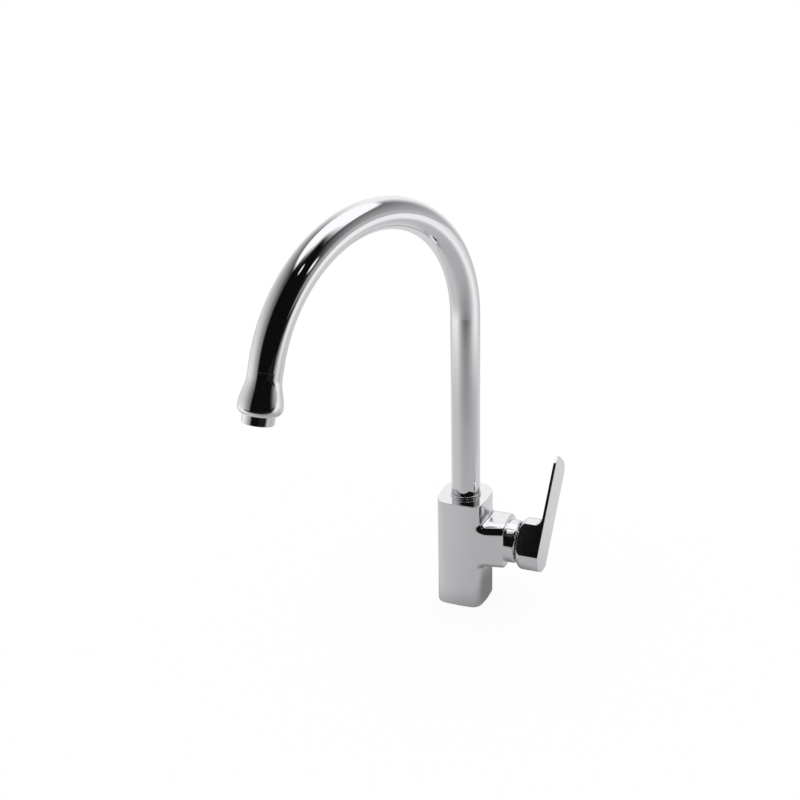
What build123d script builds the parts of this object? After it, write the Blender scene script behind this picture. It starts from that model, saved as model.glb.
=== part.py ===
"""Three way filtered water tap for a kitchen sink.

A square cast body stands on the worktop. A swan-neck spout swivels on its top, and one side lever
on a ceramic cartridge lets out hot, cold or filtered water. Filtered water keeps to a thin tube of
its own, all the way to a jet in the middle of the aerator.

Frame: +z is up and z = 0 is the worktop. The z axis is the axis on which the spout swivels.
The front of the tap looks along -y, and the lever is on the +x side.
"""

from build123d import *
import os
from math import asin, cos, degrees, radians, sin, sqrt, tan

os.makedirs("parts", exist_ok=True)

# ---------------------------------------------------------------- driving dimensions, millimetres

# body casting
body_height = 101.5
body_half_width = 22.0
body_side_bow_radius = 80.0
body_back_depth = 21.8
body_back_corner = 16.4
body_front_depth = 23.2
body_front_radius = 160.0
front_edge_round = 9.0
base_edge_round = 1.8
top_edge_round = 0.4

# the arm that carries the lever
branch_height = 61.5
branch_end = 40.5
branch_back_depth = 20.4
branch_edge_round = 1.6
branch_root_round = 3.0

# underside, seen only before the tap is fitted
deck_hole_diameter = 35.0
base_recess_radius = 15.4
base_recess_depth = 6.0
port_circle_radius = 9.0
tail_thread_diameter = 10.0
tail_thread_depth = 12.0
stud_thread_diameter = 8.0
stud_thread_depth = 14.0
waterway_diameter = 5.0
port_diameter = 3.6
base_seal_width = 2.3
base_seal_height = 2.0
deck_hole_margin = 0.4

# spout tube
tube_diameter = 25.0
tube_wall = 1.2
arch_radius = 111.0
arch_sweep = 164.5
arch_start_height = 268.6
outlet_straight = 5.0
spout_rest_angle = -19.0
spout_swing_half_range = 80.0

# bell at the end of the spout
bell_neck_diameter = 24.8
bell_mouth_diameter = 32.2
bell_length = 31.4
bell_neck_length = 5.0
bell_mouth_from_tip = 4.6
bell_tip_margin = 0.8
bell_spigot_length = 8.0
bell_spigot_wall = 1.2

# aerator
aerator_thread_diameter = 22.0
aerator_ring_diameter = 23.4
aerator_ring_length = 7.0
aerator_thread_length = 11.0
aerator_wall = 1.1
aerator_lip = 1.0
aerator_lip_thickness = 1.2
jet_diameter = 6.4
jet_bore = 4.0
aerator_cell_size = 1.7
aerator_cell_pitch = 2.3
aerator_insert_height = 9.0
aerator_washer_height = 1.6
aerator_screen_height = 0.8
screen_slots = 16
screen_slot_width = 0.8
screen_slot_margin = 1.5

# swivel joint of the spout
socket_diameter = 21.0
socket_depth = 28.0
slip_ring_diameter = 26.6
slip_ring_height = 2.4
adaptor_plug_length = 14.0
adaptor_bore = 12.0
swivel_seal_section = 2.4
swivel_seal_spacing = 10.0
bearing_ring_height = 3.0
bearing_ring_section = 1.6
stop_groove_width = 4.6
stop_groove_depth = 1.8
stop_screw_diameter = 5.0
stop_screw_length = 9.0
stop_screw_drop = 21.0
filter_tube_diameter = 6.0
filter_tube_wall = 1.0
filter_nipple_depth = 3.0

# cartridge, measured along the branch from the spout axis
chamber_floor = 13.0
cartridge_diameter = 28.0
cartridge_base_height = 5.0
port_seal_height = 0.6
port_seal_wall = 1.0
fixed_disc_diameter = 21.6
fixed_disc_height = 4.0
moving_disc_diameter = 19.4
moving_disc_height = 4.0
moving_disc_slot_depth = 2.5
mixing_hollow_length = 10.0
mixing_hollow_width = 3.6
mixing_hollow_depth = 0.8
carrier_flange_diameter = 22.4
carrier_flange_height = 2.4
carrier_neck_diameter = 17.8
carrier_end = 45.0
housing_wall = 2.2
housing_neck_diameter = 22.0
housing_shoulder = 36.2
spindle_pivot = 37.0
spindle_width = 6.0
spindle_square = 8.0
spindle_reach = 26.0
spindle_rest_tilt = 10.0
spindle_tip_radius = 2.0
spindle_tip_distance = 10.6
pivot_pin_diameter = 3.0
spindle_slot_margin = 3.0

# lock nut and collar
nut_thread_diameter = 30.0
nut_thread_length = 4.8
nut_head_diameter = 30.6
nut_head_length = 5.6
nut_slots = 6
nut_slot_width = 3.0
nut_slot_depth = 2.0
collar_diameter = 37.5
collar_length = 10.0
collar_wall = 2.6
collar_lip = 2.2
collar_edge_round = 3.0
collar_mouth_diameter = 24.6
collar_seal_section = 1.3

# lever
lever_rest_turn = 40.0
lever_width = 35.8
lever_face_distance = 72.9
hub_gap = 1.5
hub_diameter = 45.4
hub_back_round = 5.0
hub_wall = 2.0
hub_cavity_depth = 12.0
paddle_height = 79.0
paddle_thickness = 2.6
paddle_tip_radius = 9.9
paddle_root_round = 5.0
paddle_edge_round = 0.5
spindle_boss_diameter = 15.0
lever_screw_diameter = 5.0
lever_screw_length = 8.0
lever_cap_diameter = 6.4
lever_cap_length = 2.6

# clearances
running_clearance = 0.05
seat_clearance = 0.05
disc_film = 0.02
free_gap = 0.3

# ---------------------------------------------------------------- sizes that follow from them

port_offset = port_circle_radius / sqrt(2)
base_seal_inner = deck_hole_diameter / 2 + deck_hole_margin
tube_radius = tube_diameter / 2
tube_bore_radius = tube_radius - tube_wall
socket_radius = socket_diameter / 2
socket_floor = body_height - socket_depth
stop_screw_height = body_height - stop_screw_drop
journal_radius = socket_radius - running_clearance
slip_ring_top = body_height + slip_ring_height
tube_foot = slip_ring_top + free_gap
chamber_radius = cartridge_diameter / 2 + seat_clearance

base_end = chamber_floor + port_seal_height + cartridge_base_height
fixed_disc_end = base_end + fixed_disc_height
moving_disc_start = fixed_disc_end + disc_film
moving_disc_end = moving_disc_start + moving_disc_height
carrier_start = moving_disc_end + free_gap
carrier_flange_end = carrier_start + carrier_flange_height
disc_travel = spindle_tip_distance * sin(radians(spindle_rest_tilt))

collar_end = branch_end + collar_length
hub_start = collar_end + hub_gap
hub_radius = hub_diameter / 2

# ---------------------------------------------------------------- planes


def spout_direction(angle):
    """Unit vector that points out along the spout, swung by this angle from the front."""
    return Vector(sin(radians(angle)), -cos(radians(angle)), 0)


outward = spout_direction(spout_rest_angle)
spout_plane = Plane(origin=(0, 0, 0), x_dir=outward, z_dir=outward.cross(Vector(0, 0, 1)))

arch_angle = radians(arch_sweep)
arch_end = (
    arch_radius * (1 - cos(arch_angle)),
    arch_start_height + arch_radius * sin(arch_angle),
)
tube_end = (
    arch_end[0] + outlet_straight * sin(arch_angle),
    arch_end[1] + outlet_straight * cos(arch_angle),
)
# in the outlet plane x is the distance from the outlet's axis and y runs out along it
outlet_plane = Plane(
    origin=spout_plane.from_local_coords((*tube_end, 0)),
    x_dir=spout_plane.from_local_coords((cos(arch_angle), -sin(arch_angle), 0)),
    z_dir=spout_plane.z_dir,
)
outlet_axis = Axis(outlet_plane.origin, outlet_plane.y_dir)


def across_outlet(distance):
    """Plane square to the outlet, this far past the end of the tube."""
    return Plane(
        origin=outlet_plane.origin + outlet_plane.y_dir * distance,
        x_dir=outlet_plane.x_dir,
        z_dir=outlet_plane.y_dir,
    )


def across_branch(distance):
    """Plane square to the branch, this far from the spout axis; its x is the back, its y is up."""
    return Plane(origin=(distance, 0, branch_height), x_dir=(0, 1, 0), z_dir=(1, 0, 0))


# the lever rests turned back about the branch, and what turns with it shares these directions
branch_direction = Vector(1, 0, 0)
lever_upward = Vector(0, sin(radians(lever_rest_turn)), cos(radians(lever_rest_turn)))
lever_backward = lever_upward.cross(branch_direction)
spindle_tilt = radians(spindle_rest_tilt)
spindle_direction = branch_direction * cos(spindle_tilt) + lever_upward * sin(spindle_tilt)
spindle_upward = lever_upward * cos(spindle_tilt) - branch_direction * sin(spindle_tilt)
pivot_point = Vector(spindle_pivot, 0, branch_height)
pin_plane = Plane(origin=pivot_point, x_dir=branch_direction, z_dir=-lever_backward)


def across_lever(distance):
    """Plane square to the branch like across_branch, but its y runs up the resting lever."""
    return Plane(
        origin=(distance, 0, branch_height), x_dir=lever_backward, z_dir=branch_direction
    )


def across_spindle(distance):
    """Plane square to the spindle as it rests, this far outside its pivot."""
    return Plane(
        origin=pivot_point + spindle_direction * distance,
        x_dir=lever_backward,
        z_dir=spindle_direction,
    )

# the five waterways between the body and the cartridge: distance back and up from the branch axis
inlet_cold = (5.0, -5.0)
inlet_hot = (5.0, 1.5)
inlet_filtered = (-5.0, -3.0)
outlet_mixed = (-4.6, 3.6)
outlet_filtered = (1.0, 6.0)
tail_cold = (port_offset, port_offset)
tail_hot = (-port_offset, port_offset)
tail_filtered = (-port_offset, -port_offset)
stud_place = (port_offset, -port_offset)
port_bore_radius = port_diameter / 2
cartridge_ports = [inlet_cold, inlet_hot, inlet_filtered, outlet_mixed, outlet_filtered]
outlet_mixed_reach = 4.0


def bar_outline(back_depth):
    """Section shared by the upright and the branch: bowed sides, round back, open front."""
    front_reach = body_front_depth + 2 * front_edge_round
    side_drop = body_side_bow_radius - sqrt(body_side_bow_radius**2 - front_reach**2)
    with BuildSketch() as outline:
        with BuildLine():
            right = TangentArc(
                (body_half_width, 0),
                (body_half_width - side_drop, -front_reach),
                tangent=(0, -1),
            )
            Line((body_half_width, 0), (body_half_width, back_depth))
            Line((body_half_width, back_depth), (-body_half_width, back_depth))
            Line((-body_half_width, back_depth), (-body_half_width, 0))
            left = TangentArc(
                (-body_half_width, 0),
                (side_drop - body_half_width, -front_reach),
                tangent=(0, -1),
            )
            Line(right @ 1, left @ 1)
        make_face()
        back_corners = outline.vertices().group_by(Axis.Y)[-1]
        fillet(back_corners, radius=body_back_corner)
    return outline.sketch


# ---------------------------------------------------------------- body casting

branch_section = Plane(origin=(0, 0, branch_height), x_dir=(0, 0, -1), z_dir=(1, 0, 0))

with BuildPart() as mixer_body:
    with BuildSketch(Plane.XY):
        add(bar_outline(body_back_depth))
    extrude(amount=body_height)
    with BuildSketch(branch_section):
        add(bar_outline(branch_back_depth))
    extrude(amount=branch_end)
    # one gently bowed front runs over the upright and the branch
    with BuildSketch(Plane.XY):
        with Locations((0, body_front_radius - body_front_depth)):
            Circle(body_front_radius)
    extrude(amount=body_height, mode=Mode.INTERSECT)
    root_edges = mixer_body.edges().filter_by(lambda edge: edge.is_interior)
    fillet(root_edges, radius=branch_root_round)
    front_face = mixer_body.faces().filter_by(GeomType.CYLINDER).sort_by(SortBy.AREA)[-1]
    front_rim = front_face.edges().filter_by_position(
        Axis.Z, top_edge_round, body_height - top_edge_round
    )
    fillet(front_rim.sort_by(Axis.X)[:-1], radius=front_edge_round)
    fillet(mixer_body.faces().sort_by(Axis.X)[-1].edges(), radius=branch_edge_round)
    fillet(mixer_body.faces().sort_by(Axis.Z)[0].edges(), radius=base_edge_round)
    fillet(mixer_body.faces().sort_by(Axis.Z)[-1].edges(), radius=top_edge_round)

    # socket for the spout, with a bore for the filtered water in its floor
    with BuildSketch(Plane.XY.offset(socket_floor)):
        Circle(socket_radius)
    extrude(amount=socket_depth, mode=Mode.SUBTRACT)
    with BuildSketch(Plane.XY.offset(socket_floor)):
        Circle(filter_tube_diameter / 2 + running_clearance)
    extrude(amount=-filter_nipple_depth, mode=Mode.SUBTRACT)
    # cross hole at the back for the screw that keeps the spout in
    with BuildSketch(Plane.XZ.offset(-body_back_depth)):
        with Locations((0, stop_screw_height)):
            Circle(stop_screw_diameter / 2 + seat_clearance)
    extrude(amount=body_back_depth, mode=Mode.SUBTRACT)

    # chamber for the cartridge and the wider thread for its lock nut
    with BuildSketch(across_branch(chamber_floor)):
        Circle(chamber_radius)
    extrude(amount=branch_end - chamber_floor, mode=Mode.SUBTRACT)
    with BuildSketch(across_branch(branch_end - nut_thread_length)):
        Circle(nut_thread_diameter / 2 + seat_clearance)
    extrude(amount=nut_thread_length, mode=Mode.SUBTRACT)

    # underside: recess, seal groove, three threads for the tails and one for the stud
    with BuildSketch(Plane.XY):
        Circle(base_recess_radius)
    extrude(amount=base_recess_depth, mode=Mode.SUBTRACT)
    with BuildSketch(Plane.XY):
        Circle(base_seal_inner + base_seal_width + seat_clearance)
        Circle(base_seal_inner - seat_clearance, mode=Mode.SUBTRACT)
    extrude(amount=base_seal_height, mode=Mode.SUBTRACT)
    with BuildSketch(Plane.XY.offset(base_recess_depth)):
        with Locations(tail_cold, tail_hot, tail_filtered):
            Circle(tail_thread_diameter / 2)
    extrude(amount=tail_thread_depth, mode=Mode.SUBTRACT)
    with BuildSketch(Plane.XY.offset(base_recess_depth)):
        with Locations(stud_place):
            Circle(stud_thread_diameter / 2)
    extrude(amount=stud_thread_depth, mode=Mode.SUBTRACT)

    # waterways: up from each tail, then across to the floor of the chamber
    for tail, port in (
        (tail_cold, inlet_cold),
        (tail_hot, inlet_hot),
        (tail_filtered, inlet_filtered),
    ):
        with BuildSketch(Plane.XY.offset(base_recess_depth)):
            with Locations(tail):
                Circle(waterway_diameter / 2)
        extrude(amount=branch_height + port[1] - base_recess_depth, mode=Mode.SUBTRACT)
        with BuildSketch(across_branch(chamber_floor)):
            with Locations(port):
                Circle(waterway_diameter / 2)
        extrude(amount=tail[0] - chamber_floor, mode=Mode.SUBTRACT)
    # and from the chamber to the socket, beside and inside the filtered water's bore
    for reach, port, top in (
        (outlet_mixed_reach, outlet_mixed, socket_floor),
        (0, outlet_filtered, socket_floor - filter_nipple_depth),
    ):
        with BuildSketch(across_branch(chamber_floor)):
            with Locations(port):
                Circle(port_bore_radius)
        extrude(amount=reach - chamber_floor, mode=Mode.SUBTRACT)
        with BuildSketch(Plane.XY.offset(branch_height + port[1])):
            with Locations((reach, port[0])):
                Circle(port_bore_radius)
        extrude(amount=top - branch_height - port[1], mode=Mode.SUBTRACT)
mixer_body.part.label = "mixer_body"
export_step(mixer_body.part, "parts/mixer_body.step")

# ---------------------------------------------------------------- seal under the body

with BuildPart() as base_seal:
    with BuildSketch(Plane.XY):
        Circle(base_seal_inner + base_seal_width)
        Circle(base_seal_inner, mode=Mode.SUBTRACT)
    extrude(amount=base_seal_height)
base_seal.part.label = "base_seal"
export_step(base_seal.part, "parts/base_seal.step")

# ---------------------------------------------------------------- swivel joint of the spout

with BuildPart() as slip_ring:
    with BuildSketch(Plane.XY.offset(body_height)):
        Circle(slip_ring_diameter / 2)
        Circle(socket_radius, mode=Mode.SUBTRACT)
    extrude(amount=slip_ring_height)
    rims = slip_ring.edges().filter_by(GeomType.CIRCLE).group_by(SortBy.RADIUS)[-1]
    fillet(rims, radius=slip_ring_height / 4)
slip_ring.part.label = "slip_ring"
export_step(slip_ring.part, "parts/slip_ring.step")

adaptor_foot = socket_floor + free_gap
adaptor_top = tube_foot + adaptor_plug_length
seal_groove_radius = journal_radius - swivel_seal_section
bearing_groove_radius = journal_radius - bearing_ring_section
lower_seal_height = adaptor_foot + swivel_seal_section
upper_seal_height = stop_screw_height + swivel_seal_spacing
bearing_height = upper_seal_height + swivel_seal_spacing / 2
swivel_seal_heights = (lower_seal_height, upper_seal_height)

with BuildPart() as spout_adaptor:
    with BuildSketch(Plane.XY.offset(adaptor_foot)):
        Circle(journal_radius)
    extrude(amount=adaptor_top - adaptor_foot)
    with BuildSketch(Plane.XY.offset(tube_foot)):
        Circle(tube_bore_radius - seat_clearance)
    extrude(amount=adaptor_plug_length)
    # grooves for the seals and the bearing ring
    for height in swivel_seal_heights:
        with BuildSketch(Plane.XY.offset(height - swivel_seal_section / 2 - seat_clearance)):
            Circle(journal_radius)
            Circle(seal_groove_radius, mode=Mode.SUBTRACT)
        extrude(amount=swivel_seal_section + 2 * seat_clearance, mode=Mode.SUBTRACT)
    with BuildSketch(Plane.XY.offset(bearing_height - bearing_ring_height / 2 - seat_clearance)):
        Circle(journal_radius)
        Circle(bearing_groove_radius, mode=Mode.SUBTRACT)
    extrude(amount=bearing_ring_height + 2 * seat_clearance, mode=Mode.SUBTRACT)
    # part-turn groove in which the stop screw lets the spout swing
    groove_turn = 2 * spout_swing_half_range + 2 * degrees(asin(stop_groove_width / 2 / journal_radius))
    groove_start = 90 + spout_rest_angle - groove_turn / 2
    groove_plane = Plane(
        origin=(0, 0, stop_screw_height),
        x_dir=(cos(radians(groove_start)), sin(radians(groove_start)), 0),
        z_dir=(sin(radians(groove_start)), -cos(radians(groove_start)), 0),
    )
    with BuildSketch(groove_plane):
        with Locations((journal_radius, 0)):
            Rectangle(2 * stop_groove_depth, stop_groove_width)
    revolve(axis=Axis.Z, revolution_arc=groove_turn, mode=Mode.SUBTRACT)
    with BuildSketch(Plane.XY.offset(adaptor_foot)):
        Circle(adaptor_bore / 2)
    extrude(amount=adaptor_top - adaptor_foot, mode=Mode.SUBTRACT)
spout_adaptor.part.label = "spout_adaptor"
export_step(spout_adaptor.part, "parts/spout_adaptor.step")

with BuildPart() as swivel_seals:
    for height in swivel_seal_heights:
        with BuildSketch(spout_plane):
            with Locations((seal_groove_radius + swivel_seal_section / 2, height)):
                Circle(swivel_seal_section / 2)
        revolve(axis=Axis.Z)
swivel_seals.part.label = "swivel_seals"
export_step(swivel_seals.part, "parts/swivel_seals.step")

with BuildPart() as bearing_ring:
    with BuildSketch(Plane.XY.offset(bearing_height - bearing_ring_height / 2)):
        Circle(journal_radius)
        Circle(bearing_groove_radius, mode=Mode.SUBTRACT)
    extrude(amount=bearing_ring_height)
bearing_ring.part.label = "bearing_ring"
export_step(bearing_ring.part, "parts/bearing_ring.step")

# the screw's tip stands in the adaptor's groove and clears its floor
stop_screw_tip = journal_radius - stop_groove_depth + free_gap
with BuildPart() as stop_screw:
    with BuildSketch(Plane.XZ.offset(-stop_screw_tip)):
        with Locations((0, stop_screw_height)):
            Circle(stop_groove_width / 2 - free_gap)
    extrude(amount=-(socket_radius - stop_screw_tip + running_clearance))
    with BuildSketch(Plane.XZ.offset(-socket_radius - running_clearance)):
        with Locations((0, stop_screw_height)):
            Circle(stop_screw_diameter / 2)
    extrude(amount=-(stop_screw_length - socket_radius + stop_screw_tip))
    with BuildSketch(Plane.XZ.offset(-stop_screw_tip - stop_screw_length)):
        with Locations((0, stop_screw_height)):
            RegularPolygon(stop_screw_diameter / 4, 6, major_radius=False)
    extrude(amount=stop_screw_diameter / 2, mode=Mode.SUBTRACT)
stop_screw.part.label = "stop_screw"
export_step(stop_screw.part, "parts/stop_screw.step")

# ---------------------------------------------------------------- spout tube


with BuildPart() as spout_tube:
    with BuildLine(spout_plane) as tube_path:
        Line((0, tube_foot), (0, arch_start_height))
        JernArc((0, arch_start_height), (0, 1), arch_radius, -arch_sweep)
        Line(arch_end, tube_end)
    with BuildSketch(Plane.XY.offset(tube_foot)):
        Circle(tube_radius)
        Circle(tube_bore_radius, mode=Mode.SUBTRACT)
    sweep(path=tube_path.wires()[0])
spout_tube.part.label = "spout_tube"
export_step(spout_tube.part, "parts/spout_tube.step")

# ---------------------------------------------------------------- bell at the end of the spout

bell_neck_radius = bell_neck_diameter / 2
bell_mouth_radius = bell_mouth_diameter / 2
spigot_radius = tube_bore_radius - seat_clearance
bell_bore_radius = spigot_radius - bell_spigot_wall
aerator_thread_radius = aerator_thread_diameter / 2
aerator_ring_radius = aerator_ring_diameter / 2
bell_widest = bell_length - bell_mouth_from_tip
bell_tip_radius = aerator_ring_radius + bell_tip_margin
thread_start = bell_length - aerator_thread_length - aerator_washer_height

with BuildPart() as spout_bell:
    with BuildSketch(outlet_plane):
        with BuildLine():
            flare = Spline(
                (bell_neck_radius, bell_neck_length),
                (bell_mouth_radius, bell_widest),
                tangents=((0, 1), (0, 1)),
                tangent_scalars=(1.0, 1.0),
            )
            shoulder = EllipticalCenterArc(
                (bell_tip_radius, bell_widest),
                bell_mouth_radius - bell_tip_radius,
                bell_mouth_from_tip,
                start_angle=0,
                arc_size=90,
            )
            Polyline(
                shoulder @ 1,
                (aerator_thread_radius + seat_clearance, bell_length),
                (aerator_thread_radius + seat_clearance, thread_start),
                (bell_bore_radius, thread_start),
                (bell_bore_radius, -bell_spigot_length),
                (spigot_radius, -bell_spigot_length),
                (spigot_radius, 0),
                (bell_neck_radius, 0),
                flare @ 0,
            )
        make_face()
    revolve(axis=outlet_axis)
spout_bell.part.label = "spout_bell"
export_step(spout_bell.part, "parts/spout_bell.step")

# ---------------------------------------------------------------- aerator in the bell

aerator_bore_radius = aerator_thread_radius - aerator_wall
housing_start = thread_start + aerator_washer_height
ring_start = bell_length + free_gap / 3
ring_end = ring_start + aerator_ring_length
lip_radius = aerator_bore_radius - aerator_lip
insert_start = ring_end - aerator_lip_thickness - aerator_insert_height
screen_start = insert_start - aerator_screen_height

with BuildPart() as aerator_washer:
    with BuildSketch(across_outlet(thread_start)):
        Circle(aerator_thread_radius)
        Circle(aerator_bore_radius - aerator_lip, mode=Mode.SUBTRACT)
    extrude(amount=aerator_washer_height)
aerator_washer.part.label = "aerator_washer"
export_step(aerator_washer.part, "parts/aerator_washer.step")

with BuildPart() as aerator_housing:
    with BuildSketch(across_outlet(housing_start)):
        Circle(aerator_thread_radius)
    extrude(amount=ring_start - housing_start)
    with BuildSketch(across_outlet(ring_start)):
        Circle(aerator_ring_radius)
    extrude(amount=aerator_ring_length)
    outer_rim = aerator_housing.edges().sort_by(Axis(outlet_plane.origin, outlet_plane.y_dir))[-1]
    fillet(outer_rim, radius=aerator_wall / 2)
    with BuildSketch(across_outlet(housing_start)):
        Circle(aerator_bore_radius)
    extrude(amount=ring_end - aerator_lip_thickness - housing_start, mode=Mode.SUBTRACT)
    with BuildSketch(across_outlet(ring_end)):
        Circle(lip_radius)
    extrude(amount=-2 * aerator_lip_thickness, mode=Mode.SUBTRACT)
aerator_housing.part.label = "aerator_housing"
export_step(aerator_housing.part, "parts/aerator_housing.step")

cell_grid = round(2 * aerator_bore_radius / aerator_cell_pitch)
cell_limit = aerator_bore_radius - aerator_cell_size
cell_places = HexLocations(aerator_cell_pitch / 2, cell_grid, cell_grid).local_locations
ring_cells = [
    place
    for place in cell_places
    if jet_diameter / 2 + aerator_cell_size < place.position.length < cell_limit
]
screen_slot_length = aerator_bore_radius - jet_diameter / 2 - 2 * screen_slot_margin
with BuildPart() as aerator_insert:
    with BuildSketch(across_outlet(insert_start)):
        Circle(aerator_bore_radius - seat_clearance)
        Circle(jet_diameter / 2 + seat_clearance, mode=Mode.SUBTRACT)
    extrude(amount=aerator_insert_height)
    with BuildSketch(across_outlet(insert_start)):
        with Locations(*ring_cells):
            RegularPolygon(aerator_cell_size / 2, 6)
    extrude(amount=aerator_insert_height, mode=Mode.SUBTRACT)
aerator_insert.part.label = "aerator_insert"
export_step(aerator_insert.part, "parts/aerator_insert.step")

with BuildPart() as aerator_screen:
    with BuildSketch(across_outlet(screen_start)):
        Circle(aerator_bore_radius - seat_clearance)
        Circle(jet_diameter / 2 + seat_clearance, mode=Mode.SUBTRACT)
        with PolarLocations((aerator_bore_radius + jet_diameter / 2) / 2, screen_slots):
            SlotOverall(screen_slot_length, screen_slot_width, mode=Mode.SUBTRACT)
    extrude(amount=aerator_screen_height)
aerator_screen.part.label = "aerator_screen"
export_step(aerator_screen.part, "parts/aerator_screen.step")

# ---------------------------------------------------------------- the filtered water's own way

filter_radius = filter_tube_diameter / 2
filter_bore_radius = filter_radius - filter_tube_wall
nipple_top = adaptor_foot + filter_tube_diameter
jet_start = screen_start - filter_tube_diameter

with BuildPart() as filter_tube:
    with BuildLine(spout_plane) as filter_path:
        Line((0, nipple_top), (0, arch_start_height))
        JernArc((0, arch_start_height), (0, 1), arch_radius, -arch_sweep)
        PolarLine(arch_end, outlet_straight + jet_start, angle=90 - arch_sweep)
    with BuildSketch(Plane.XY.offset(nipple_top)):
        Circle(filter_radius)
        Circle(filter_bore_radius, mode=Mode.SUBTRACT)
    sweep(path=filter_path.wires()[0])
filter_tube.part.label = "filter_tube"
export_step(filter_tube.part, "parts/filter_tube.step")

nipple_foot = socket_floor - filter_nipple_depth + free_gap
with BuildPart() as filter_nipple:
    with BuildSketch(Plane.XY.offset(nipple_foot)):
        Circle(filter_radius)
    extrude(amount=nipple_top - nipple_foot)
    # three thin arms hold the nipple in the middle of the adaptor's bore
    with BuildSketch(Plane.XY.offset(adaptor_foot + free_gap)):
        with PolarLocations(adaptor_bore / 4, 3):
            Rectangle(adaptor_bore / 2 - 2 * seat_clearance, filter_tube_wall)
    extrude(amount=filter_tube_diameter / 2)
    with BuildSketch(Plane.XY.offset(nipple_top)):
        Circle(filter_bore_radius - seat_clearance)
    extrude(amount=filter_tube_diameter)
    with BuildSketch(Plane.XY.offset(nipple_foot)):
        Circle(filter_bore_radius / 2)
    extrude(amount=nipple_top + filter_tube_diameter - nipple_foot, mode=Mode.SUBTRACT)
filter_nipple.part.label = "filter_nipple"
export_step(filter_nipple.part, "parts/filter_nipple.step")

with BuildPart() as filter_jet:
    with BuildSketch(across_outlet(jet_start)):
        Circle(jet_diameter / 2)
    extrude(amount=ring_end - aerator_lip_thickness - jet_start)
    with BuildSketch(across_outlet(jet_start)):
        Circle(filter_bore_radius - seat_clearance)
    extrude(amount=-filter_tube_diameter)
    with BuildSketch(across_outlet(jet_start - filter_tube_diameter)):
        Circle(filter_bore_radius / 2)
    extrude(amount=filter_tube_diameter + ring_end - jet_start, mode=Mode.SUBTRACT)
    with BuildSketch(across_outlet(ring_end - aerator_lip_thickness)):
        Circle(jet_bore / 2)
    extrude(amount=-aerator_insert_height, mode=Mode.SUBTRACT)
filter_jet.part.label = "filter_jet"
export_step(filter_jet.part, "parts/filter_jet.step")

# ---------------------------------------------------------------- cartridge

base_start = chamber_floor + port_seal_height
with BuildPart() as port_seals:
    with BuildSketch(across_branch(chamber_floor)):
        with Locations(*cartridge_ports):
            Circle(port_bore_radius + port_seal_wall)
        with Locations(*cartridge_ports):
            Circle(port_bore_radius, mode=Mode.SUBTRACT)
    extrude(amount=port_seal_height)
port_seals.part.label = "port_seals"
export_step(port_seals.part, "parts/port_seals.step")

with BuildPart() as cartridge_base:
    with BuildSketch(across_branch(base_start)):
        Circle(cartridge_diameter / 2)
        with Locations(*cartridge_ports):
            Circle(port_bore_radius, mode=Mode.SUBTRACT)
    extrude(amount=cartridge_base_height)
cartridge_base.part.label = "cartridge_base"
export_step(cartridge_base.part, "parts/cartridge_base.step")

with BuildPart() as fixed_disc:
    with BuildSketch(across_branch(base_end)):
        Circle(fixed_disc_diameter / 2)
        with Locations(*cartridge_ports):
            Circle(port_bore_radius, mode=Mode.SUBTRACT)
    extrude(amount=fixed_disc_height)
fixed_disc.part.label = "fixed_disc"
export_step(fixed_disc.part, "parts/fixed_disc.step")

# the moving disc rests off centre, over all the ports, and slides along the lever as it opens
with BuildPart() as moving_disc:
    with BuildSketch(across_lever(moving_disc_start)):
        with Locations((0, -disc_travel)):
            Circle(moving_disc_diameter / 2)
    extrude(amount=moving_disc_height)
    # slot that the spindle's tip moves in
    with BuildSketch(across_lever(moving_disc_end)):
        with Locations((0, -disc_travel)):
            Rectangle(
                spindle_width + 2 * free_gap,
                2 * (spindle_tip_radius + running_clearance),
            )
    extrude(amount=-moving_disc_slot_depth, mode=Mode.SUBTRACT)
    # hollow on the sliding face that joins the ports
    with BuildSketch(across_lever(moving_disc_start)):
        with Locations((0, -disc_travel)):
            SlotOverall(mixing_hollow_length, mixing_hollow_width)
    extrude(amount=mixing_hollow_depth, mode=Mode.SUBTRACT)
moving_disc.part.label = "moving_disc"
export_step(moving_disc.part, "parts/moving_disc.step")

housing_bore_radius = cartridge_diameter / 2 - housing_wall
neck_bore_radius = carrier_neck_diameter / 2 + running_clearance
neck_start = carrier_flange_end + running_clearance
with BuildPart() as cartridge_housing:
    with BuildSketch(across_branch(base_end)):
        Circle(cartridge_diameter / 2)
    extrude(amount=housing_shoulder - base_end)
    with BuildSketch(across_branch(housing_shoulder)):
        Circle(housing_neck_diameter / 2)
    extrude(amount=carrier_end - housing_shoulder)
    with BuildSketch(across_branch(base_end)):
        Circle(housing_bore_radius)
    extrude(amount=neck_start - base_end, mode=Mode.SUBTRACT)
    with BuildSketch(across_branch(neck_start)):
        Circle(neck_bore_radius)
    extrude(amount=carrier_end - neck_start, mode=Mode.SUBTRACT)
cartridge_housing.part.label = "cartridge_housing"
export_step(cartridge_housing.part, "parts/cartridge_housing.step")

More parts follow.
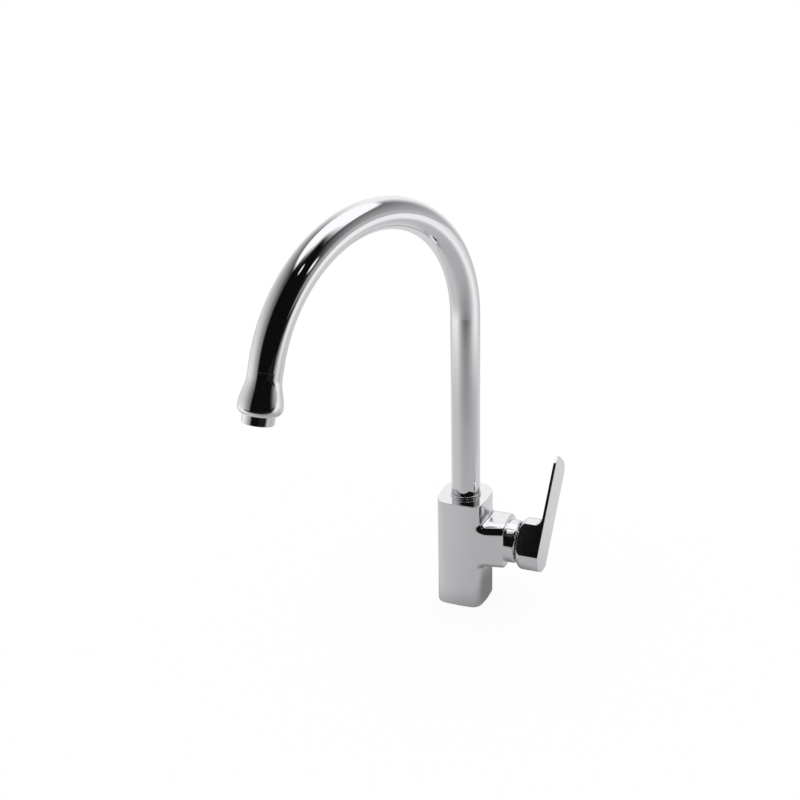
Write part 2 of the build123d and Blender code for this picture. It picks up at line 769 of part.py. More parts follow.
# the carrier turns in the housing and holds the spindle's pin
spindle_slot_angle = spindle_rest_tilt + spindle_slot_margin
wide_slot_start = spindle_pivot + spindle_square / 2 - spindle_square * sin(radians(spindle_rest_tilt))
slot_half_height = spindle_square / 2 + (carrier_end - spindle_pivot) * tan(radians(spindle_slot_angle))
with BuildPart() as spindle_carrier:
    with BuildSketch(across_lever(carrier_start)):
        Circle(carrier_flange_diameter / 2)
    extrude(amount=carrier_flange_height)
    with BuildSketch(across_lever(carrier_flange_end)):
        Circle(carrier_neck_diameter / 2)
    extrude(amount=carrier_end - carrier_flange_end)
    # slot through the carrier in which the spindle tilts
    with BuildSketch(across_lever(carrier_start)):
        Rectangle(spindle_width + 2 * running_clearance, 2 * slot_half_height)
    extrude(amount=carrier_end - carrier_start, mode=Mode.SUBTRACT)
    with BuildSketch(across_lever(carrier_end)):
        Rectangle(spindle_square + 2 * free_gap, 2 * slot_half_height)
    extrude(amount=wide_slot_start - carrier_end, mode=Mode.SUBTRACT)
    with BuildSketch(pin_plane):
        Circle(pivot_pin_diameter / 2)
    extrude(amount=carrier_neck_diameter, both=True, mode=Mode.SUBTRACT)
spindle_carrier.part.label = "spindle_carrier"
export_step(spindle_carrier.part, "parts/spindle_carrier.step")

with BuildPart() as pivot_pin:
    with BuildSketch(pin_plane):
        Circle(pivot_pin_diameter / 2)
    extrude(amount=carrier_neck_diameter / 2 - 4 * free_gap, both=True)
pivot_pin.part.label = "pivot_pin"
export_step(pivot_pin.part, "parts/pivot_pin.step")

# flat arm inside the pivot, square end outside it, all on the spindle's resting tilt
spindle_side = Plane(
    origin=pivot_point,
    x_dir=spindle_direction,
    z_dir=-lever_backward,
)
square_start = spindle_square / 2 + free_gap
with BuildPart() as cartridge_spindle:
    with BuildSketch(spindle_side):
        with BuildLine():
            Polyline(
                (-spindle_tip_distance, free_gap - spindle_tip_radius),
                (-spindle_square / 2, -spindle_square / 2),
                (square_start, -spindle_square / 2),
                (square_start, spindle_square / 2),
                (-spindle_square / 2, spindle_square / 2),
                (-spindle_tip_distance, spindle_tip_radius - free_gap),
                close=True,
            )
        make_face()
        with Locations((-spindle_tip_distance, 0)):
            Circle(spindle_tip_radius)
    extrude(amount=spindle_width / 2, both=True)
    with BuildSketch(across_spindle(square_start)):
        Rectangle(spindle_square, spindle_square)
    extrude(amount=spindle_reach - square_start)
    with BuildSketch(pin_plane):
        Circle(pivot_pin_diameter / 2 + running_clearance)
    extrude(amount=spindle_width, both=True, mode=Mode.SUBTRACT)
cartridge_spindle.part.label = "cartridge_spindle"
export_step(cartridge_spindle.part, "parts/cartridge_spindle.step")

# ---------------------------------------------------------------- lock nut and collar

nut_thread_start = housing_shoulder
nut_head_start = branch_end + seat_clearance
nut_head_end = nut_head_start + nut_head_length
with BuildPart() as lock_nut:
    with BuildSketch(across_branch(nut_thread_start)):
        Circle(nut_thread_diameter / 2)
    extrude(amount=nut_head_start - nut_thread_start)
    with BuildSketch(across_branch(nut_head_start)):
        Circle(nut_head_diameter / 2)
    extrude(amount=nut_head_length)
    with BuildSketch(across_branch(nut_thread_start)):
        Circle(housing_neck_diameter / 2 + seat_clearance)
    extrude(amount=nut_head_end - nut_thread_start, mode=Mode.SUBTRACT)
    with BuildSketch(across_branch(nut_head_end)):
        with PolarLocations(nut_head_diameter / 2, nut_slots):
            Rectangle(nut_head_diameter / 2, nut_slot_width)
    extrude(amount=-nut_slot_depth, mode=Mode.SUBTRACT)
lock_nut.part.label = "lock_nut"
export_step(lock_nut.part, "parts/lock_nut.step")

collar_radius = collar_diameter / 2
collar_bore_radius = collar_radius - collar_wall
with BuildPart() as collar:
    with BuildSketch(across_branch(branch_end)):
        Circle(collar_radius)
    extrude(amount=collar_length)
    fillet(collar.edges().sort_by(Axis.X)[-1], radius=collar_edge_round)
    with BuildSketch(across_branch(branch_end)):
        Circle(collar_bore_radius)
    extrude(amount=collar_length - collar_lip, mode=Mode.SUBTRACT)
    with BuildSketch(across_branch(branch_end)):
        Circle(collar_mouth_diameter / 2)
    extrude(amount=collar_length, mode=Mode.SUBTRACT)
collar.part.label = "collar"
export_step(collar.part, "parts/collar.step")

with BuildPart() as collar_seal:
    with BuildSketch(across_branch(nut_head_start + seat_clearance)):
        Circle(collar_bore_radius)
        Circle(nut_head_diameter / 2, mode=Mode.SUBTRACT)
    extrude(amount=collar_seal_section)
collar_seal.part.label = "collar_seal"
export_step(collar_seal.part, "parts/collar_seal.step")

# ---------------------------------------------------------------- lever

boss_start = hub_start - spindle_pivot + 2 * free_gap
boss_end = lever_face_distance - paddle_thickness - spindle_pivot
# the screw bears on the spindle from below; its plane faces up, square to the spindle
lever_screw_reach = (boss_start + spindle_reach) / 2 + free_gap
lever_screw_plane = Plane(
    origin=pivot_point
    + spindle_direction * lever_screw_reach
    - spindle_upward * (spindle_square / 2 + running_clearance),
    x_dir=lever_backward,
    z_dir=spindle_upward,
)
lever_cap_seat = hub_radius - spindle_square / 2 - lever_cap_length

with BuildPart() as lever:
    # round hub and a disc on its end, so that the root curve can run all the way round
    with BuildSketch(across_lever(hub_start)):
        Circle(hub_radius)
    extrude(amount=lever_face_distance - hub_start)
    fillet(lever.edges().sort_by(Axis.X)[0], radius=hub_back_round)
    with BuildSketch(across_lever(lever_face_distance)):
        Circle(2 * paddle_height)
    extrude(amount=-paddle_thickness)
    root = lever.edges().filter_by(GeomType.CIRCLE).filter_by_position(
        Axis.X, lever_face_distance - 2 * paddle_thickness, lever_face_distance
    )
    fillet(root.group_by(SortBy.RADIUS)[0], radius=paddle_root_round)
    # both are trimmed to one outline: the paddle above, and below it the hub between two flats
    with BuildSketch(across_lever(lever_face_distance)):
        Circle(hub_radius)
        Rectangle(lever_width, 2 * hub_diameter, mode=Mode.INTERSECT)
        with BuildSketch(mode=Mode.PRIVATE) as paddle_outline:
            with Locations((0, paddle_height / 2)):
                Rectangle(lever_width, paddle_height)
            fillet(paddle_outline.vertices().group_by(Axis.Y)[-1], radius=paddle_tip_radius)
        add(paddle_outline.sketch)
    extrude(amount=hub_start - lever_face_distance, mode=Mode.INTERSECT)
    outer_face = lever.faces().sort_by(Axis.X)[-1]
    fillet(outer_face.edges(), radius=paddle_edge_round)
    # hollow behind the hub, into which the collar dips as the lever opens
    with BuildSketch(across_lever(hub_start)):
        Circle(hub_radius - hub_wall)
        Rectangle(lever_width - 2 * hub_wall, hub_diameter, mode=Mode.INTERSECT)
    extrude(amount=hub_cavity_depth, mode=Mode.SUBTRACT)
    # boss in the hollow with the square socket for the spindle
    with BuildSketch(across_spindle(boss_start)):
        Circle(spindle_boss_diameter / 2)
    extrude(amount=boss_end - boss_start)
    with BuildSketch(across_spindle(boss_start)):
        Rectangle(spindle_square + 2 * seat_clearance, spindle_square + 2 * seat_clearance)
    extrude(amount=spindle_reach + free_gap - boss_start, mode=Mode.SUBTRACT)
    # hole underneath for the screw that holds the lever on the spindle
    with BuildSketch(lever_screw_plane):
        Circle(lever_screw_diameter / 2 + seat_clearance)
    extrude(amount=-hub_diameter, mode=Mode.SUBTRACT)
    with BuildSketch(lever_screw_plane.offset(-lever_cap_seat)):
        Circle(lever_cap_diameter / 2 + seat_clearance)
    extrude(amount=-hub_radius, mode=Mode.SUBTRACT)
lever.part.label = "lever"
export_step(lever.part, "parts/lever.step")

with BuildPart() as lever_screw:
    with BuildSketch(lever_screw_plane):
        Circle(lever_screw_diameter / 2)
    extrude(amount=-lever_screw_length)
    with BuildSketch(lever_screw_plane.offset(-lever_screw_length)):
        RegularPolygon(lever_screw_diameter / 4, 6, major_radius=False)
    extrude(amount=lever_screw_diameter / 2, mode=Mode.SUBTRACT)
lever_screw.part.label = "lever_screw"
export_step(lever_screw.part, "parts/lever_screw.step")

with BuildPart() as lever_cap:
    with BuildSketch(lever_screw_plane.offset(-lever_cap_seat - seat_clearance)):
        Circle(lever_cap_diameter / 2)
    extrude(amount=-lever_cap_length)
    cap_rim = lever_cap.edges().sort_by(Axis(lever_screw_plane.origin, spindle_upward))[0]
    fillet(cap_rim, radius=lever_cap_length / 4)
lever_cap.part.label = "lever_cap"
export_step(lever_cap.part, "parts/lever_cap.step")
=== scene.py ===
# %% [markdown]
# # Three way filtered water tap
#
# A tall kitchen tap in polished chrome. The construction comes ready made, as a frame of separate
# pieces at their real size. This lesson gives those pieces their finish, adds the screw threads that
# the frame leaves plain, and lights them. Chrome has almost no colour of its own. What the eye reads
# as chrome is the room around it, so most of the work is in the finish and in the studio.

# %% Load the frame
from math import cos, radians, sin, tau

import bmesh
import bpy
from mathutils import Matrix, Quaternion, Vector


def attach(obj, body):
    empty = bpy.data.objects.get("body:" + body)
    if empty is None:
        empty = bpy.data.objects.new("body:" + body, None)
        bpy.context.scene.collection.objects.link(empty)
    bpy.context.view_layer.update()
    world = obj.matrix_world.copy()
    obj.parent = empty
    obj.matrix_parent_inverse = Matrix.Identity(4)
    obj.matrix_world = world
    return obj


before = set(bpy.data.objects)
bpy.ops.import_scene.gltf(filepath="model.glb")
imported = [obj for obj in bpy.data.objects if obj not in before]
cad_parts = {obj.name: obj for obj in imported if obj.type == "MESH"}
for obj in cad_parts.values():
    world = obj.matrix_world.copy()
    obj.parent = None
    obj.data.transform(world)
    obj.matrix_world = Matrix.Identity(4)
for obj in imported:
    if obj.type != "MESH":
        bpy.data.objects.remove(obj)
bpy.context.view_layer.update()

scene = bpy.context.scene
mm = 0.001

# %% [markdown]
# ## The camera
#
# The camera stands to the right of the tap and looks down on it. Its place, heading and lens come from
# setting the tap's own edges against their vanishing points. The picture was cut from a wider one, so
# the lens is shifted, as on a studio camera, and the camera leans by about a degree. Directions in this
# lesson are an azimuth and a height: azimuth 0 is the front of the tap, -Y, and 90 is the lever's side,
# +X.

# %% Camera
camera_place = (0.3444, -0.9401, 0.6507)
camera_heading = 16.18
camera_pitch = 20.73
camera_lean = 1.16
focal_length_mm = 57.86
sensor_width_mm = 36.0
camera_shift = (-0.185, -0.11)


def direction(azimuth, height):
    """Unit vector toward this azimuth and height, both in degrees."""
    a, e = radians(azimuth), radians(height)
    return Vector((sin(a) * cos(e), -cos(a) * cos(e), sin(e)))


camera = bpy.data.objects.new("camera", bpy.data.cameras.new("camera"))
scene.collection.objects.link(camera)
camera.data.lens = focal_length_mm
camera.data.sensor_width = sensor_width_mm
camera.data.shift_x, camera.data.shift_y = camera_shift
camera.location = camera_place
looking = -direction(camera_heading, camera_pitch)
camera.rotation_mode = "QUATERNION"
lean = Quaternion((0, 0, 1), radians(camera_lean))
camera.rotation_quaternion = looking.to_track_quat("-Z", "Y") @ lean
scene.camera = camera
scene.view_settings.view_transform = "Standard"
print("the camera looks along", [round(v, 3) for v in looking])

# %% [markdown]
# ## Helpers for node materials
#
# A finish is a small network of nodes. It could be drawn by hand in the node editor, but in code it can
# be read and repeated. These helpers keep each network short: one adds a node and sets or links its
# inputs, and the others do sums, fade a value in and out, and blend two values or two surfaces.

# %% Node helpers


def add_node(tree, kind, settings=None, **inputs):
    """A new node in this tree, with settings for its attributes and values or links for its inputs."""
    node = tree.nodes.new(kind)
    for name, value in (settings or {}).items():
        setattr(node, name, value)
    for name, value in inputs.items():
        key = int(name[1:]) if name[0] == "_" else name.replace("_", " ")
        if isinstance(value, bpy.types.NodeSocket):
            tree.links.new(value, node.inputs[key])
        else:
            node.inputs[key].default_value = value
    return node


def calculate(tree, operation, *values):
    """Result of a Math node on up to three values or sockets."""
    places = {f"_{place}": value for place, value in enumerate(values)}
    return add_node(tree, "ShaderNodeMath", {"operation": operation}, **places).outputs[0]


def measure(tree, operation, *vectors):
    """Number that a Vector Math node gives for its vectors, such as a length or a distance."""
    places = {f"_{place}": vector for place, vector in enumerate(vectors)}
    settings = {"operation": operation}
    return add_node(tree, "ShaderNodeVectorMath", settings, **places).outputs["Value"]


def rising(tree, value, start, end):
    """Goes smoothly from 0 to 1 while the value goes from start to end."""
    settings = {"interpolation_type": "SMOOTHSTEP"}
    node = add_node(tree, "ShaderNodeMapRange", settings, Value=value, From_Min=start, From_Max=end)
    return node.outputs["Result"]


def between(tree, value, low, high, soft):
    """1 while the value is between low and high, with a soft edge of this width at each end."""
    enters = rising(tree, value, low - soft / 2, low + soft / 2)
    leaves = rising(tree, value, high + soft / 2, high - soft / 2)
    return calculate(tree, "MULTIPLY", enters, leaves)


def spread(tree, value, low, high):
    """Stretches a value from 0..1 to low..high."""
    return add_node(tree, "ShaderNodeMapRange", Value=value, To_Min=low, To_Max=high).outputs["Result"]


def blend_values(tree, share, under, over):
    """under where the share is 0, over where it is 1."""
    settings = {"data_type": "FLOAT"}
    return add_node(tree, "ShaderNodeMix", settings, _0=share, _2=under, _3=over).outputs[0]


def blend_surfaces(tree, share, under, over):
    """Surface or background under where the share is 0, over where it is 1."""
    return add_node(tree, "ShaderNodeMixShader", _0=share, _1=under, _2=over).outputs[0]


# %% Where a ray is going
full_turn = 360.0


def azimuth_and_height(tree, vector):
    """Azimuth and height of this vector in degrees, as two sockets."""
    x, y, _ = add_node(tree, "ShaderNodeSeparateXYZ", Vector=vector).outputs
    turn = calculate(tree, "ARCTAN2", x, calculate(tree, "MULTIPLY", y, -1.0))
    unit = add_node(tree, "ShaderNodeVectorMath", {"operation": "NORMALIZE"}, _0=vector).outputs[0]
    rise = calculate(tree, "ARCSINE", add_node(tree, "ShaderNodeSeparateXYZ", Vector=unit).outputs[2])
    return calculate(tree, "DEGREES", turn), calculate(tree, "DEGREES", rise)


def shown_in_metal(tree):
    """1 for the rays that a shiny or clear surface sends out."""
    path = add_node(tree, "ShaderNodeLightPath").outputs
    return calculate(tree, "MAXIMUM", path["Is Glossy Ray"], path["Is Transmission Ray"])


# %% [markdown]
# ## The floor
#
# The tap stands on a plain pale sweep. The camera should see it white, while the metal should see it as
# the greys that a lit table really has. Those greys are painted light and shade: the floor glows with
# them, for reflections only. Near the tap it is grey, a little darker in front. Farther out it is bright,
# except in front, where its glow fades to dark toward the edge of the table. Close to the foot lies a
# painted shade of the tap. One floor can't be both, so the camera is shown a white one and reflections a
# grey one. A small share of the white one stays matt, and keeps the tap's real shadow.

# %% Floor
floor_front, floor_back, floor_side = -3.0, 3.0, 2.5
floor_matt_share = 0.12
floor_matt = (0.80, 0.80, 0.80, 1.0)
near_floor, near_floor_in_front, near_floor_behind = 0.56, 0.44, 0.68
far_floor, far_floor_behind = 0.91, 0.59
floor_front_azimuths, floor_front_soft = (-24.0, 105.0), 69.0
floor_behind_azimuths, floor_behind_soft = (133.0, 260.0), 44.0
floor_far_from, floor_far_until = 0.39, 0.78
table_edge_azimuth, table_edge_light = 24.0, 0.012
table_edge_from, table_edge_until = 0.16, 0.90
# painted shade at the tap's foot: its centre in m, the distances over which it fades, and its glow
painted_shade_centre, painted_shade_from, painted_shade_until, painted_shade_light = (0.015, 0.02, 0.0), 0.02, 0.078, 0.2


def floor_material():
    material = bpy.data.materials.new("floor_paper")
    material.use_nodes = True
    tree = material.node_tree
    tree.nodes.clear()
    place = add_node(tree, "ShaderNodeTexCoord").outputs["Object"]
    azimuth, _ = azimuth_and_height(tree, place)
    turned = calculate(tree, "WRAP", azimuth, full_turn, 0.0)
    in_front = between(tree, azimuth, *floor_front_azimuths, floor_front_soft)
    behind = between(tree, turned, *floor_behind_azimuths, floor_behind_soft)
    near = blend_values(tree, behind, near_floor, near_floor_behind)
    near = blend_values(tree, in_front, near, near_floor_in_front)
    far = blend_values(tree, behind, far_floor, far_floor_behind)
    farther_out = rising(tree, measure(tree, "LENGTH", place), floor_far_from, floor_far_until)
    light = blend_values(tree, farther_out, near, far)

    # painted shade: the glow fades to dark toward the edge of the table in front
    ahead = measure(tree, "DOT_PRODUCT", place, direction(table_edge_azimuth, 0))
    toward_edge = rising(tree, ahead, table_edge_from, table_edge_until)
    light = blend_values(tree, toward_edge, light, table_edge_light)

    # painted shade of the tap at its foot, a dimmer glow close to the foot
    from_foot = measure(tree, "DISTANCE", place, painted_shade_centre)
    out_of_shade = rising(tree, from_foot, painted_shade_from, painted_shade_until)
    light = blend_values(tree, out_of_shade, painted_shade_light, light)

    matt = add_node(tree, "ShaderNodeBsdfDiffuse", Color=floor_matt).outputs[0]
    # painted light and shade: the floor glows with these greys, seen only in reflections
    painted_glow_for_metal = add_node(tree, "ShaderNodeEmission", Strength=light).outputs[0]
    glow_strength = (1.0 - floor_matt_share * floor_matt[0]) / (1.0 - floor_matt_share)
    white = add_node(tree, "ShaderNodeEmission", Strength=glow_strength).outputs[0]
    camera_sees = add_node(tree, "ShaderNodeLightPath").outputs["Is Camera Ray"]
    share = calculate(tree, "MULTIPLY", camera_sees, 1.0 - floor_matt_share)
    shown = blend_surfaces(tree, share, matt, white)
    surface = blend_surfaces(tree, shown_in_metal(tree), shown, painted_glow_for_metal)
    add_node(tree, "ShaderNodeOutputMaterial", Surface=surface)
    return material


def make_floor():
    mesh = bpy.data.meshes.new("floor")
    corners = [
        (-floor_side, floor_front, 0),
        (floor_side, floor_front, 0),
        (floor_side, floor_back, 0),
        (-floor_side, floor_back, 0),
    ]
    mesh.from_pydata(corners, [], [(0, 1, 2, 3)])
    mesh.materials.append(floor_material())
    floor = bpy.data.objects.new("floor", mesh)
    scene.collection.objects.link(floor)


make_floor()
print("the floor runs from", floor_front, "to", floor_back, "m")

# %% [markdown]
# ## The studio that the chrome shows
#
# The tap stands in a tent of white cloth. A white sheet hangs over it and comes down low behind it and
# on the right. The left side is a pale wall that darkens toward the top, the right side is a grey wall,
# and the front, where the camera stands, is a dark room with two small lamps in it. The world is built
# from these few areas, laid over each other with soft edges. Shiny surfaces see them, matt surfaces get
# a plain white light, and the camera sees white behind the tap.

# %% Studio values, in degrees and in strengths where 1 is white
wall_low, wall_high = (-1.3, 0.74), (63.5, 0.057)
wall_bright_from, wall_dim_until, wall_dimmest = -69.0, -21.0, 0.21
side_azimuths, side_low, side_high = (20.0, 60.0), (-2.0, 0.49), (41.5, 0.145)
back_azimuths, back_soft, back_strength = (170.0, 219.0), 39.0, 0.92
sheet_strength, sheet_soft = 1.06, 7.0
sheet_edge, sheet_swing, sheet_turn = 54.0, 11.3, 32.5
room_azimuths, room_left_soft, room_right_soft = (-23.7, 94.0), 7.0, 42.0
room_top, room_top_power, room_strength = (60.0, 86.0), 2.0, 0.004
small_lamps, lamp_radius, lamp_strength = [(43.0, 52.0), (80.5, 21.0)], 3.2, 1.0
lamp_dark_at, lamp_bright_at = 1.4, 0.6  # in radii of the lamp
light_for_matt = 1.0


def graded(tree, value, low, high):
    """Goes evenly from one strength to another between two angles, each pair as (angle, strength)."""
    limits = {"From_Min": low[0], "To_Min": low[1], "From_Max": high[0], "To_Max": high[1]}
    return add_node(tree, "ShaderNodeMapRange", Value=value, **limits).outputs["Result"]


def studio_light(tree, toward):
    """Strength of the studio in this direction."""
    azimuth, height = azimuth_and_height(tree, toward)

    # pale wall on the left, darker toward the top and toward the dark room
    wall = graded(tree, height, wall_low, wall_high)
    dims = graded(tree, azimuth, (wall_bright_from, 1.0), (wall_dim_until, wall_dimmest))
    light = calculate(tree, "MULTIPLY", wall, dims)

    # grey wall on the right
    side = graded(tree, height, side_low, side_high)
    light = blend_values(tree, rising(tree, azimuth, *side_azimuths), light, side)

    # white cloth behind the tap, which runs across the seam at 180 degrees
    turned = calculate(tree, "WRAP", azimuth, full_turn, 0.0)
    cloth = between(tree, turned, *back_azimuths, back_soft)
    light = blend_values(tree, cloth, light, back_strength)

    # white sheet overhead, whose edge comes down behind and on the right
    swing_angle = calculate(tree, "RADIANS", calculate(tree, "ADD", azimuth, sheet_turn))
    swing = calculate(tree, "COSINE", swing_angle)
    edge = calculate(tree, "MULTIPLY_ADD", swing, sheet_swing, sheet_edge)
    above = calculate(tree, "SUBTRACT", height, edge)
    sheet = rising(tree, above, -sheet_soft / 2, sheet_soft / 2)
    light = blend_values(tree, sheet, light, sheet_strength)

    # dark room in front, fading out toward the right and toward the sheet
    room_left, room_right = room_azimuths
    enters = rising(tree, azimuth, room_left - room_left_soft / 2, room_left + room_left_soft / 2)
    leaves = rising(tree, azimuth, room_right + room_right_soft / 2, room_right - room_right_soft / 2)
    fades = calculate(tree, "POWER", rising(tree, height, *room_top), room_top_power)
    below = calculate(tree, "SUBTRACT", 1.0, fades)
    share = calculate(tree, "MULTIPLY", calculate(tree, "MULTIPLY", enters, leaves), below)
    light = blend_values(tree, share, light, room_strength)

    # two small lamps in the dark room
    lamp_edge = [cos(radians(lamp_radius * part)) for part in (lamp_dark_at, lamp_bright_at)]
    for lamp in small_lamps:
        facing = measure(tree, "DOT_PRODUCT", toward, direction(*lamp))
        light = blend_values(tree, rising(tree, facing, *lamp_edge), light, lamp_strength)
    return light


def studio_world():
    world = bpy.data.worlds.new("studio")
    world.use_nodes = True
    tree = world.node_tree
    tree.nodes.clear()
    toward = add_node(tree, "ShaderNodeTexCoord").outputs["Generated"]
    light = studio_light(tree, toward)
    studio = add_node(tree, "ShaderNodeBackground", Strength=light)
    plain = add_node(tree, "ShaderNodeBackground", Strength=light_for_matt)
    white = add_node(tree, "ShaderNodeBackground", Strength=1.0)
    for background in (studio, plain, white):
        background.inputs["Color"].default_value = (1.0, 1.0, 1.0, 1.0)
    lit = blend_surfaces(tree, shown_in_metal(tree), plain.outputs[0], studio.outputs[0])
    camera_sees = add_node(tree, "ShaderNodeLightPath").outputs["Is Camera Ray"]
    seen = blend_surfaces(tree, camera_sees, lit, white.outputs[0])
    add_node(tree, "ShaderNodeOutputWorld", Surface=seen)
    return world


scene.world = studio_world()
print("the studio has", len(scene.world.node_tree.nodes), "nodes")

# %% [markdown]
# ## Chrome
#
# The visible pieces are brass under bright nickel and chromium. The layers are so thin that they follow
# every trace of the polishing below: a cast body is never quite flat, and its reflections swim a little,
# while a drawn tube is even. So there is one chrome with three grades of unevenness. Wiping leaves faint
# streaks, which show as small changes of roughness.

# %% Chrome
chrome_tint = (0.925, 0.93, 0.95, 1.0)
chrome_shade = (0.89, 0.895, 0.915, 1.0)
tone_grain_mm = 60
streak_grain_mm, streak_detail, streak_stretch = 5, 4.0, (1.0, 1.0, 5.0)
wave_detail = 1.0
bevel_samples = 6


def noise(tree, grain_mm, detail=2.0, stretch=(1.0, 1.0, 1.0)):
    """Noise in the piece's own space, whose grain has about this size, stretched along each axis."""
    place = add_node(tree, "ShaderNodeTexCoord").outputs["Object"]
    scale = [1.0 / (grain_mm * mm * s) for s in stretch]
    scaled = add_node(tree, "ShaderNodeMapping", Vector=place, Scale=scale).outputs[0]
    return add_node(tree, "ShaderNodeTexNoise", Vector=scaled, Scale=1.0, Detail=detail).outputs["Fac"]


def two_tones(tree, share, first, second):
    settings = {"data_type": "RGBA"}
    return add_node(tree, "ShaderNodeMix", settings, _0=share, _6=first, _7=second).outputs[2]


def bump(tree, height, depth_mm, normal=None):
    """Surface normal disturbed by a height that is this deep."""
    links = {"Height": height, "Strength": 1.0, "Distance": depth_mm * mm}
    if normal is not None:
        links["Normal"] = normal
    return add_node(tree, "ShaderNodeBump", **links).outputs[0]


def finish_material(name, metallic):
    """A new material with one Principled surface, and its node tree."""
    material = bpy.data.materials.new(name)
    material.use_nodes = True
    tree = material.node_tree
    tree.nodes.clear()
    surface = add_node(tree, "ShaderNodeBsdfPrincipled", Metallic=metallic)
    add_node(tree, "ShaderNodeOutputMaterial", Surface=surface.outputs[0])
    return material, tree, surface


def set_surface(tree, surface, **links):
    for name, socket in links.items():
        tree.links.new(socket, surface.inputs[name.replace("_", " ")])


def chrome(name, wave_mm, wave_depth_mm, low, high, edge_mm):
    """Polished chrome over metal with these waves. Its roughness lies between low and high."""
    material, tree, surface = finish_material(name, 1.0)
    tone = two_tones(tree, noise(tree, tone_grain_mm), chrome_tint, chrome_shade)
    streaks = noise(tree, streak_grain_mm, streak_detail, streak_stretch)
    roughness = spread(tree, streaks, low, high)
    settings = {"samples": bevel_samples}
    edge = add_node(tree, "ShaderNodeBevel", settings, Radius=edge_mm * mm).outputs[0]
    waves = bump(tree, noise(tree, wave_mm, wave_detail), wave_depth_mm, edge)
    set_surface(tree, surface, Base_Color=tone, Roughness=roughness, Normal=waves)
    return material


cast_chrome = chrome(
    "chrome_on_casting", wave_mm=14, wave_depth_mm=0.012, low=0.02, high=0.055, edge_mm=0.3
)
tube_chrome = chrome(
    "chrome_on_drawn_tube", wave_mm=30, wave_depth_mm=0.004, low=0.012, high=0.04, edge_mm=0.05
)
turned_chrome = chrome(
    "chrome_on_turned_brass", wave_mm=20, wave_depth_mm=0.004, low=0.015, high=0.045, edge_mm=0.1
)
print("chrome in three grades")

# %% [markdown]
# ## The other materials
#
# Inside the tap the brass is bare, with fine turning marks. Screws are stainless steel. The cartridge is
# white acetal around two lapped ceramic discs, the seals are black rubber, and filtered water runs in a
# milky hose. None of it shows from outside, but each gets its finish, so the tap can be taken apart.

# %% Bare metals
tarnish_grain_mm, tarnish_detail = 8, 3.0
marks_detail, marks_stretch, marks_depth_mm = 1.0, (12.0, 12.0, 1.0), 0.01


def turned_metal(name, first, second, marks_mm, low, high):
    """Machined metal with fine marks and a little tarnish."""
    material, tree, surface = finish_material(name, 1.0)
    tarnish = noise(tree, tarnish_grain_mm, tarnish_detail)
    marks = noise(tree, marks_mm, marks_detail, marks_stretch)
    tone = two_tones(tree, tarnish, first, second)
    roughness = spread(tree, marks, low, high)
    relief = bump(tree, marks, marks_depth_mm)
    set_surface(tree, surface, Base_Color=tone, Roughness=roughness, Normal=relief)
    return material


brass = turned_metal(
    "machined_brass", (0.80, 0.60, 0.28, 1), (0.66, 0.46, 0.20, 1),
    marks_mm=0.3, low=0.22, high=0.38,
)
steel = turned_metal(
    "stainless_steel", (0.62, 0.62, 0.63, 1), (0.50, 0.50, 0.52, 1),
    marks_mm=0.25, low=0.25, high=0.40,
)

# %% Plastics, rubber and ceramic
cloud_grain_mm, cloud_detail = 6, 3.0


def moulded(name, first, second, low, high, grain_mm, depth_mm):
    """A moulded or lapped surface with a slight grain and a slight cloud in its colour."""
    material, tree, surface = finish_material(name, 0.0)
    tone = two_tones(tree, noise(tree, cloud_grain_mm, cloud_detail), first, second)
    grain = noise(tree, grain_mm)
    roughness = spread(tree, grain, low, high)
    relief = bump(tree, grain, depth_mm)
    set_surface(tree, surface, Base_Color=tone, Roughness=roughness, Normal=relief)
    return material


rubber = moulded(
    "black_rubber", (0.028, 0.028, 0.028, 1), (0.045, 0.045, 0.044, 1),
    low=0.55, high=0.75, grain_mm=0.3, depth_mm=0.01,
)
acetal = moulded(
    "white_acetal", (0.84, 0.84, 0.81, 1), (0.78, 0.78, 0.76, 1),
    low=0.32, high=0.48, grain_mm=0.5, depth_mm=0.006,
)
ceramic = moulded(
    "lapped_ceramic", (0.90, 0.88, 0.83, 1), (0.85, 0.83, 0.78, 1),
    low=0.10, high=0.18, grain_mm=0.4, depth_mm=0.001,
)
hose = moulded(
    "milky_hose", (0.74, 0.79, 0.83, 1), (0.68, 0.74, 0.79, 1),
    low=0.22, high=0.35, grain_mm=1.0, depth_mm=0.004,
)
print("metals, plastics, rubber and ceramic are ready")

# %% [markdown]
# ## Each piece gets its finish
#
# The frame's pieces keep their shape and place, and only their material slots change.

# %% Finishes
finishes = {
    cast_chrome: ["mixer_body", "lever"],
    tube_chrome: ["spout_tube"],
    turned_chrome: ["spout_bell", "aerator_housing", "collar", "slip_ring", "lever_cap"],
    brass: ["spout_adaptor", "lock_nut", "cartridge_spindle"],
    steel: ["stop_screw", "lever_screw", "pivot_pin", "aerator_screen"],
    rubber: ["base_seal", "swivel_seals", "port_seals", "collar_seal", "aerator_washer"],
    acetal: [
        "bearing_ring", "cartridge_base", "cartridge_housing", "spindle_carrier",
        "aerator_insert", "filter_nipple", "filter_jet",
    ],
    ceramic: ["fixed_disc", "moving_disc"],
    hose: ["filter_tube"],
}
for material, names in finishes.items():
    for name in names:
        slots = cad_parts[name].data.materials
        slots.clear()
        slots.append(material)
dressed = sorted(name for names in finishes.values() for name in names)
print(len(dressed), "pieces dressed, left over:", sorted(set(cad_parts) - set(dressed)))

# %% [markdown]
# ## Screw threads
#
# Three supply tails and the fixing stud screw into the underside of the body. The frame has plain holes
# there, at the full diameter of each thread. A real thread is a ridge that winds up the wall of its
# hole. It could be a screw modifier on a profile, but a ridge that fades in and out at its ends is easier
# to wind in mesh code, one profile after another, a little higher each time.

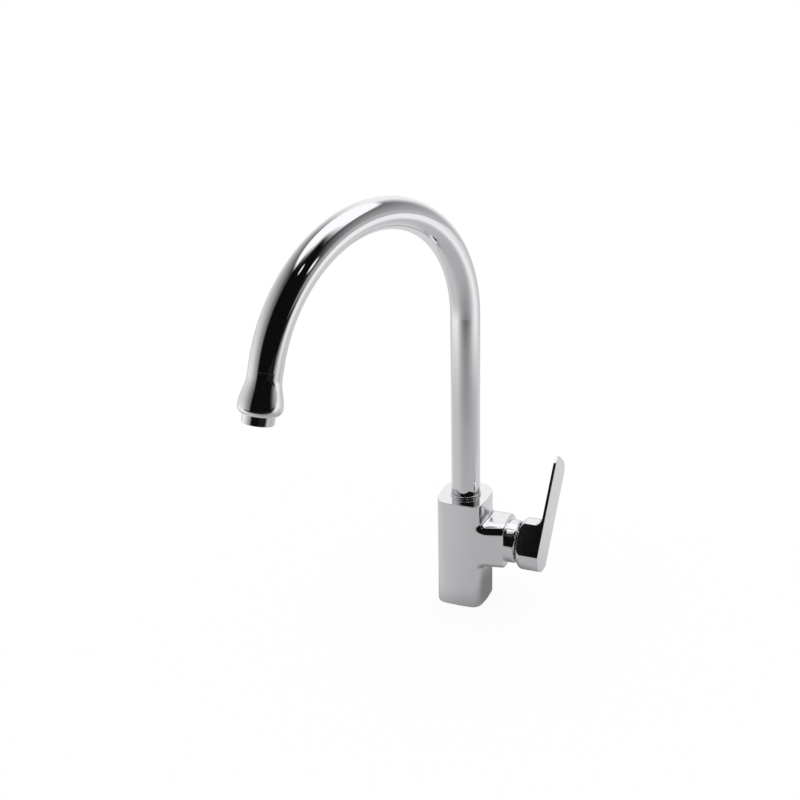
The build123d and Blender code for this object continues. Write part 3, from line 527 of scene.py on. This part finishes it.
# %% Threads under the body
port_offset = 6.364 * mm
tail_holes = [(port_offset, port_offset), (-port_offset, port_offset), (-port_offset, -port_offset)]
stud_hole = (port_offset, -port_offset)
tail_thread = {"radius": 5.0 * mm, "pitch": 1.0 * mm, "low": 6.3 * mm, "high": 17.6 * mm}
stud_thread = {"radius": 4.0 * mm, "pitch": 1.25 * mm, "low": 6.3 * mm, "high": 19.5 * mm}
steps_in_a_turn = 40
seated_in_wall = 0.02 * mm
ridge_height, ridge_root, ridge_crest = 0.54, 0.45, 0.08  # in pitches, the last two from the middle
least_fade = 0.05


def thread_in_hole(name, centre, radius, pitch, low, high):
    """Ridge of an inside thread, wound up the wall of a hole."""
    bm = bmesh.new()
    turns = (high - low) / pitch - 1
    steps = int(turns * steps_in_a_turn)
    rings = []
    for step in range(steps + 1):
        angle = step * tau / steps_in_a_turn
        rise = low + pitch / 2 + step * pitch / steps_in_a_turn
        fade = min(1.0, 2 * step / steps_in_a_turn, 2 * (steps - step) / steps_in_a_turn)
        crest = radius - ridge_height * pitch * max(fade, least_fade)
        profile = [
            (radius + seated_in_wall, -ridge_root * pitch),
            (crest, -ridge_crest * pitch),
            (crest, ridge_crest * pitch),
            (radius + seated_in_wall, ridge_root * pitch),
        ]
        ring = []
        for r, z in profile:
            corner = (centre[0] + r * cos(angle), centre[1] + r * sin(angle), rise + z)
            ring.append(bm.verts.new(corner))
        rings.append(ring)
    for ring, following in zip(rings, rings[1:]):
        for place in range(len(ring)):
            after = (place + 1) % len(ring)
            bm.faces.new((ring[place], ring[after], following[after], following[place]))
    bm.faces.new(rings[0])
    bm.faces.new(rings[-1])
    bmesh.ops.recalc_face_normals(bm, faces=bm.faces)
    mesh = bpy.data.meshes.new(name)
    bm.to_mesh(mesh)
    bm.free()
    mesh.materials.append(brass)
    piece = bpy.data.objects.new(name, mesh)
    scene.collection.objects.link(piece)
    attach(piece, "tap_body")


for number, place in enumerate(tail_holes, start=1):
    thread_in_hole(f"tail_thread_{number}", place, **tail_thread)
thread_in_hole("stud_thread", stud_hole, **stud_thread)
print("threads:", len(tail_holes), "for the tails and one for the stud")
